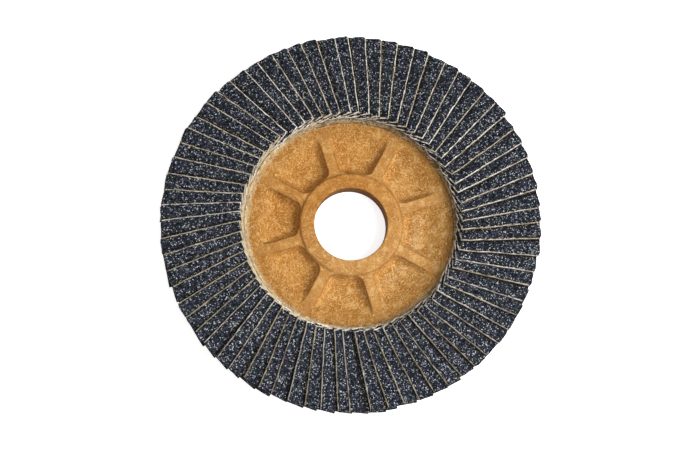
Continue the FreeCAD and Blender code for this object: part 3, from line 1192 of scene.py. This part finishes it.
@dataclass
class AdhesiveRing:
    """The cured resin under the flaps' feet, with its rough bead inside the flaps."""

    shape: FlapShape
    material: bpy.types.Material
    seat: float = 5.9
    inner: float = 31.44
    outer: float = 48.4
    bead_outer: float = 32.99
    tooth: float = 0.7
    columns: int = 864
    dusty_side: float = 208.0
    even_side: float = 200.0
    spill: Tuple[float, float] = (0.14, 0.07)
    lump_height: float = 0.34
    ripple_height: float = 0.26

    def teeth(self, radius: Array, angle: Array) -> Array:
        """Height of the resin between the feet.

        It follows the underside of a flap: from the foot it rises against the turn by the tangent of the
        flap's tilt, up to the depth to which the feet are held, and starts again at the next foot.

        Args:
            radius: distances from the axis.
            angle: angles in radians.

        Returns:
            Heights in millimetres.
        """
        (near, far), (inner_tilt, outer_tilt) = self.shape.ends(), self.shape.tilts()
        share = np.clip((radius - near) / (far - near), 0.0, 1.0)
        slope = np.tan(inner_tilt + (outer_tilt - inner_tilt) * share)
        foot = self.shape.width * math.cos(inner_tilt) - self.shape.free_offset
        pitch = 2.0 * math.pi / self.shape.count
        foot_angle = math.radians(self.shape.first_angle) + np.arcsin(foot / radius)
        phase = ((foot_angle - angle) / pitch) % 1.0
        return self.shape.foot_height + np.minimum(phase * pitch * radius * slope, self.tooth)

    def shades(self, points: Array, radius: Array, turn: Array, dusty: Array) -> Dict[str, Array]:
        """Attributes of the resin's finish.

        tone takes the colour from pale to tan in clouds, tanner as painted shade on the inner face on the
        dusty side. The second is dark resin without threads together with painted shade: little of it on the
        dusty, lit side except on the inner face that the lamp lights, more elsewhere including the shaded
        right, least towards the plate, and mottled except on the even side.

        Args:
            points: the ring's points, shape (n, 3).
            radius: their distances from the axis.
            turn: the angles of the columns in radians.
            dusty: how dusty each column is, from 0 to 1.

        Returns:
            The two attributes by name.
        """
        rows = len(points) // self.columns
        dust_and_painted_light = np.tile(dusty, rows)
        mottled = np.tile(1.0 - smooth_step((facing(turn, self.even_side) - 0.3) / 0.5), rows)
        # Painted shade on the bead's inner face, which the lamp lights on the dusty side
        inner_face_shade = 0.30 * smooth_step((32.5 - radius) / 0.8)
        resin_and_painted_shade = 0.93 - dust_and_painted_light * (1.0 - inner_face_shade) - 0.25 * (1.0 - dust_and_painted_light) * smooth_step((32.1 - radius) / 0.6)
        resin_and_painted_shade += 0.30 * smooth_noise(points, 0.9, 24) + 0.20 * smooth_noise(points, 0.4, 27)
        resin_and_painted_shade += 0.50 * mottled * smooth_noise(points, 0.6, 28)
        tone = 0.5 + 0.5 * smooth_noise(points, 2.0, 23) + 0.3 * dust_and_painted_light * inner_face_shade
        return {"tone": tone, "resin_and_painted_shade": np.clip(resin_and_painted_shade, 0.0, 1.0)}

    def build(self) -> None:
        """Makes the ring as one closed grid that stands for the frame's ring.

        On the dusty left side the bead's foot spills inwards over the plate's collar.
        """
        inner, outer = self.inner, self.bead_outer
        bead = np.array([
            [inner, self.seat], [inner, 6.34], [inner, 6.38], [inner, 6.75], [inner + 0.02, 7.1],
            [inner + 0.10, 7.5], [inner + 0.24, 7.9], [inner + 0.45, 8.2], [inner + 0.69, 8.4],
            [inner + 0.94, 8.45], [inner + 1.18, 8.3], [inner + 1.38, 8.0], [outer - 0.08, 7.7], [outer, 7.3],
        ])
        flat = section_line((outer + 0.05, self.outer), (0.0, 0.0), 14)
        under = np.array([[self.outer, self.seat], [42.0, self.seat], [36.0, self.seat]])
        section = np.concatenate([bead, flat, under])
        turn = np.arange(self.columns) * 2.0 * math.pi / self.columns
        r, z = (np.repeat(section[:, i:i + 1], self.columns, 1) for i in (0, 1))
        a = np.repeat(turn[None, :], len(section), 0)

        # The spill over the collar, in the two rows at the bead's foot, and the teeth between the feet
        # Dusting on the left, the side that the lamp lights; away from it the dark resin also paints shade
        dusty = smooth_step((facing(turn, self.dusty_side) + 0.55) / 0.9)
        brink = round_axis(inner, turn, np.zeros(self.columns))
        waver = 1.0 + 0.40 * smooth_noise(brink, 2.4, 25) + 0.40 * smooth_noise(brink, 0.7, 26)
        for row, width in zip((2, 3), self.spill):
            r[row] -= width * dusty * waver
        toothed = slice(len(bead), len(bead) + len(flat))
        z[toothed] = self.teeth(r[toothed], a[toothed])

        # The bead's own lumps, up and down and away from the flaps
        points = round_axis(r, a, z)
        rough = (smooth_noise(points, 1.7, 21) * self.lump_height
                 + smooth_noise(points, 0.7, 22) * self.ripple_height)
        on_bead = np.zeros(z.shape)
        on_bead[4:len(bead) - 1] = 1.0
        amount = (rough * on_bead.reshape(-1))[:, None]
        points += round_axis(1.0, a, np.zeros(a.shape)) * np.minimum(amount * 0.6, 0.0) * -0.5
        points[:, 2] += amount[:, 0] * 1.1
        values = self.shades(points, r.reshape(-1), turn, dusty)
        mesh = MeshParts(points, [ring_quads(*r.shape, True)], values)
        place(mesh.build("resin_ring", self.material, smooth=True), ["adhesive_ring"])


@dataclass
class FrayedThreads:
    """Loose ends of the cloth's threads, at the flaps' inner ends, on their cut edges and on the bead."""

    shape: FlapShape
    material: bpy.types.Material
    fuzz_seed: int = 4000
    yarn_seed: int = 9000
    bead_seed: int = 91
    frayed_side: float = 160.0
    inner_least: int = 5
    inner_more: int = 44
    edge_count: int = 36
    outer_count: int = 5
    bead_count: int = 2900
    bead_inner: float = 31.35
    bead_width: float = 1.85
    bead_side: float = 185.0
    bead_top: float = 85.0
    bead_low_right: float = 310.0

    @staticmethod
    def tubes(line: Array, radius: Array, tone: Array, sides: int, taper: float) -> MeshParts:
        """Closed tubes round many centre lines at once.

        At each step the section is a ring of corners, set square to the line's direction there, and its
        radius shrinks in a straight line towards the tip.

        Args:
            line: centre lines, shape (n, steps, 3).
            radius: radii at the root, shape (n,).
            tone: a random value for the colour, shape (n,).
            sides: corners in a ring.
            taper: the tip's radius over the root's.

        Returns:
            The tubes' mesh.
        """
        n, steps = line.shape[:2]
        way = np.gradient(line, axis=1)
        way /= np.linalg.norm(way, axis=2, keepdims=True)
        steep = np.abs(way[:, :1, 2:3]) > 0.8
        helper = np.where(steep, np.array([1.0, 0.0, 0.0]), np.array([0.0, 0.0, 1.0]))
        side = np.cross(way, np.broadcast_to(helper, way.shape))
        side /= np.linalg.norm(side, axis=2, keepdims=True)
        other = np.cross(way, side)
        size = np.linspace(1.0, taper, steps)[None, :, None] * radius[:, None, None]
        turns = 2.0 * math.pi * np.arange(sides) / sides
        corners = [line + size * (math.cos(turn) * side + math.sin(turn) * other) for turn in turns]
        points = np.stack(corners, 2).reshape(-1, 3)
        stride = steps * sides
        base = np.arange(n)[:, None] * stride
        quads = (base[:, :, None] + ring_quads(steps, sides, False)[None, :, :]).reshape(-1, 4)
        root = base + np.arange(sides)[::-1]
        tip = base + (stride - sides) + np.arange(sides)
        return MeshParts(points, [quads, root, tip], {"tone": np.repeat(tone, stride)})

    @staticmethod
    def bent(root: Array, way: Array, droop: Array, size: Array, steps: int) -> Array:
        """Centre lines that leave their roots one way and bend: root + way * s + droop * s squared.

        Args:
            root: starting points, shape (n, 3).
            way: directions, shape (n, 3), which are made one millimetre long.
            droop: sideways bend in 1/mm, shape (n, 3).
            size: lengths, shape (n,).
            steps: points on a line.

        Returns:
            The lines, shape (n, steps, 3).
        """
        way = way / np.linalg.norm(way, axis=1, keepdims=True)
        s = np.linspace(0.0, 1.0, steps)[None, :, None] * size[:, None, None]
        return root[:, None, :] + way[:, None, :] * s + droop[:, None, :] * s * s

    def fray(self, number: float) -> float:
        """How frayed the inner ends are, from 0 to 1: most on the left, least on the right."""
        return 0.5 + 0.5 * self.shape.towards(number, self.frayed_side)

    def fuzz(self, number: int) -> MeshParts:
        """The short loose threads of one flap, on its inner end, its free edge and its outer end.

        Args:
            number: which flap, from 0.

        Returns:
            Their mesh, for a flap along +X.
        """
        rng = np.random.default_rng(self.fuzz_seed + number)
        length = self.shape.length
        edge, outer = self.edge_count, self.outer_count
        inner = self.inner_least + int(self.inner_more * self.fray(number) ** 1.6)
        total = inner + edge + outer
        ends, mid, last = slice(0, inner), slice(inner, inner + edge), slice(inner + edge, total)

        # Roots
        a = np.concatenate([rng.uniform(0.0, 1.0, inner) ** 1.6 * 12.0, rng.uniform(-0.02, 0.12, edge),
                            rng.uniform(0.0, 5.0, outer)])
        v = np.concatenate([rng.uniform(0.0, 0.15, inner), rng.uniform(0.3, length - 0.3, edge),
                            length - rng.uniform(0.0, 0.15, outer)])
        h = rng.uniform(0.05, self.shape.cloth, total)
        base, down, out = self.shape.frame(v / length)
        root = base + down * a[:, None] + out * h[:, None]

        # Directions: inwards, off the free edge and outwards
        along = np.array([[1.0, 0.0, 0.0]])
        across, rise = np.split(rng.normal(0.0, 1.0, (total, 2)), 2, axis=1)
        way = np.empty((total, 3))
        way[ends] = -along + down[ends] * across[ends] * 0.9 + out[ends] * rise[ends] * 0.35
        way[mid] = -down[mid] * 0.7 + along * across[mid] * 0.9 + out[mid] * rise[mid] * 0.25
        way[last] = along + down[last] * across[last] * 0.5 + out[last] * rise[last] * 0.25
        droop = rng.normal(0.0, 0.3, (total, 3))
        droop[ends, 2] -= 0.18

        # Lengths
        fringe = 0.2 + rng.exponential(0.35, inner) * (0.6 + 0.6 * self.fray(number))
        beside = 0.12 + rng.exponential(0.13, edge)
        beyond = 0.1 + rng.exponential(0.15, outer)
        size = np.minimum(np.concatenate([fringe, beside, beyond]), 1.7)
        line = self.bent(root, way, droop, size, 4)
        return self.tubes(line, rng.uniform(0.03, 0.07, total), rng.uniform(0.0, 1.0, total), 3, 0.55)

    def yarns(self, number: int) -> MeshParts:
        """Whole yarns that have come loose along the inner cut edge and run down beside it, in waves.

        Args:
            number: which flap, from 0.

        Returns:
            Their mesh, for a flap along +X.
        """
        rng = np.random.default_rng(self.yarn_seed + number)
        count, steps = 1 + int(round(rng.uniform(0.0, 0.6) + 2.4 * self.fray(number) ** 1.5)), 12
        first = rng.uniform(-0.1, 2.5, (count, 1))
        first[0] = 0.05
        span = rng.uniform(2.5, 9.0, (count, 1))
        a = first + span * np.linspace(0.0, 1.0, steps)[None, :]
        phase = rng.uniform(0.0, 6.3, (count, 3))
        wave = np.sin(phase[:, :1] + a * rng.uniform(0.8, 1.8, (count, 1)))
        ripple = np.sin(phase[:, 1:2] + a * rng.uniform(3.0, 5.0, (count, 1)))
        v = -rng.uniform(-0.05, 0.30, (count, 1)) + 0.10 * wave + 0.04 * ripple
        v[0] *= 0.5
        h = rng.uniform(0.45, 0.9, (count, 1)) * self.shape.thickness + 0.1 * np.sin(phase[:, 2:3] + a)
        frame = self.shape.frame((v / self.shape.length).reshape(-1))
        base, down, out = (x.reshape(count, steps, 3) for x in frame)
        line = base + down * a[:, :, None] + out * h[:, :, None]
        return self.tubes(line, rng.uniform(0.06, 0.11, count), rng.uniform(0.0, 0.5, count), 5, 0.8)

    def on_bead(self) -> MeshParts:
        """Yarn ends caught in the bead, round it and across it at random.

        They are densest on the left, and denser at the top and the lower right than on the right.

        Returns:
            Their mesh.
        """
        rng = np.random.default_rng(self.bead_seed)
        tries = 4 * self.bead_count
        angle = rng.uniform(0.0, 2.0 * math.pi, tries)
        side = 0.5 + 0.5 * facing(angle, self.bead_side)
        top = hump(np.degrees(angle), self.bead_top, 32.0)
        low_right = hump(np.degrees(angle), self.bead_low_right, 22.0)
        wanted = np.minimum(0.10 + 0.45 * top + 0.50 * low_right + 0.85 * side ** 1.5, 1.0)
        angle = angle[rng.uniform(0.0, 1.0, tries) < wanted][:self.bead_count]
        n = len(angle)
        radius = self.bead_inner + self.bead_width * rng.uniform(0.0, 1.0, n) ** 0.7
        rise = np.interp(radius, [31.3, 31.5, 31.75, 32.4, 33.2], [6.7, 7.5, 8.0, 8.5, 8.5])
        out = round_axis(1.0, angle, np.zeros(n))
        round_way = np.stack([-out[:, 1], out[:, 0], out[:, 2]], 1)
        up = np.array([[0.0, 0.0, 1.0]])
        root = out * radius[:, None] + up * rise[:, None]
        sense, across, upwards = np.split(rng.normal(0.0, 1.0, (n, 3)), 3, axis=1)
        way = round_way * np.sign(sense) - out * (0.20 + 0.85 * across) + up * (0.05 + 0.2 * upwards)
        droop = rng.normal(0.0, 0.12, (n, 3)) - up * 0.12
        size = np.minimum(0.4 + rng.exponential(0.45, n), 2.0)
        line = self.bent(root, way, droop, size, 6)
        return self.tubes(line, rng.uniform(0.04, 0.10, n), rng.uniform(-0.7, 1.6, n), 3, 0.6)

    def build(self) -> None:
        """Makes the threads of the flaps and of the bead as two pieces."""
        parts = []
        for number in range(self.shape.count):
            for part in (self.fuzz(number), self.yarns(number)):
                part.points = self.shape.turned(part.points, number)
                parts.append(part)
        place(MeshParts.joined(parts).build("frayed_ends", self.material, smooth=True))
        place(self.on_bead().build("bead_threads", self.material, smooth=True))


@dataclass
class Studio:
    """Floor, world, lamp and camera."""

    camera_direction: float = -114.9
    camera_tilt: float = 10.73
    camera_distance: float = 706.3
    lens: float = 119.8
    nearest_seen: float = 10.0
    target: Tuple[float, float, float] = (-0.40, -2.62, 6.0)
    world_level: float = 0.56
    floor_half: float = 1500.0
    floor_white: float = 0.92
    floor_glow: float = 0.66
    floor_roughness: float = 0.95
    key_direction: float = -13.0
    key_height: float = 46.0
    key_power: float = 4.3
    key_size: float = 0.5
    key_distance: float = 0.6

    def floor(self) -> None:
        """A white floor that shows as white to the camera and keeps the object's soft shadow."""
        material = bpy.data.materials.new("StudioFloor")
        material.use_nodes = True
        n = NodeTree(material.node_tree)
        path = n.add("ShaderNodeLightPath").outputs
        seen = n.math("MAXIMUM", path["Is Camera Ray"], path["Is Glossy Ray"])
        seen = n.math("MAXIMUM", seen, path["Is Transmission Ray"])
        settings = {
            "Base Color": (self.floor_white,) * 3,
            "Roughness": self.floor_roughness,
            "Specular IOR Level": 0.0,
            "Emission Color": (1.0, 1.0, 1.0),
            "Emission Strength": n.product(seen, self.floor_glow),
        }
        for key, value in settings.items():
            n.fill(n.tree.nodes["Principled BSDF"].inputs[key], value)
        corners = np.array([[-1.0, -1.0, 0.0], [1.0, -1.0, 0.0], [1.0, 1.0, 0.0], [-1.0, 1.0, 0.0]])
        mesh = MeshParts(corners * self.floor_half, [np.array([[0, 1, 2, 3]])])
        floor = mesh.build("studio_floor", material, smooth=False)

    def light(self) -> None:
        """A grey-white world, and one large soft lamp on the right, halfway up the sky."""
        world = bpy.data.worlds.new("StudioWorld")
        world.use_nodes = True
        n = NodeTree(world.node_tree)
        back = world.node_tree.nodes["Background"].inputs
        n.fill(back["Color"], (1.0, 1.0, 1.0))
        seen = n.add("ShaderNodeLightPath").outputs["Is Camera Ray"]
        n.fill(back["Strength"], n.ramp(seen, 0.0, 1.0, self.world_level, 1.0))
        bpy.context.scene.world = world
        lamp = bpy.data.lights.new("KeyLamp", "AREA")
        lamp.shape = "DISK"
        lamp.size = self.key_size
        lamp.energy = self.key_power
        holder = bpy.data.objects.new("KeyLamp", lamp)
        turn, rise = math.radians(self.key_direction), math.radians(self.key_height)
        way = Vector((math.cos(turn) * math.cos(rise), math.sin(turn) * math.cos(rise), math.sin(rise)))
        holder.location = way * self.key_distance
        holder.rotation_euler = way.to_track_quat("Z", "Y").to_euler()
        bpy.context.scene.collection.objects.link(holder)

    def camera(self) -> None:
        """The photograph's view: almost straight down, from a little below and left of the axis."""
        turn, tilt = math.radians(self.camera_direction), math.radians(self.camera_tilt)
        back = Vector((math.sin(tilt) * math.cos(turn), math.sin(tilt) * math.sin(turn), math.cos(tilt)))
        right = Vector((0.0, 1.0, 0.0)).cross(back).normalized()
        up = back.cross(right)
        data = bpy.data.cameras.new("PhotoCamera")
        data.lens = self.lens
        data.clip_start = self.nearest_seen * MM
        eye = (Vector(self.target) + back * self.camera_distance) * MM
        holder = bpy.data.objects.new("PhotoCamera", data)
        holder.matrix_world = Matrix.Translation(eye) @ Matrix((right, up, back)).transposed().to_4x4()
        bpy.context.scene.collection.objects.link(holder)
        bpy.context.scene.camera = holder

    def build(self) -> None:
        """Sets up the whole studio."""
        self.floor()
        self.light()
        self.camera()
        LOG.info("studio: floor, world, lamp and camera")


def main() -> None:
    """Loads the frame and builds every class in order."""
    logging.basicConfig(level=logging.INFO, format="%(name)s: %(message)s")
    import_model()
    fibres, grains, weave = fibre_group(), grain_group(), weave_group()
    shape = FlapShape()
    resin = ThreadFinish(pale=(0.815, 0.630, 0.350), tan=(0.420, 0.250, 0.095))
    BackingPlate(PlateFinish().material(fibres)).build()
    AdhesiveRing(shape, resin.material("CuredResin", fibres, 0.9)).build()
    FlapPack(shape, AbrasiveFinish().material(grains, weave)).build()
    FrayedThreads(shape, ThreadFinish().material("FrayedCotton", fibres, 0.0)).build()
    Studio().build()
    bpy.context.scene.view_settings.view_transform = "Standard"


if __name__ == "__main__":
    main()
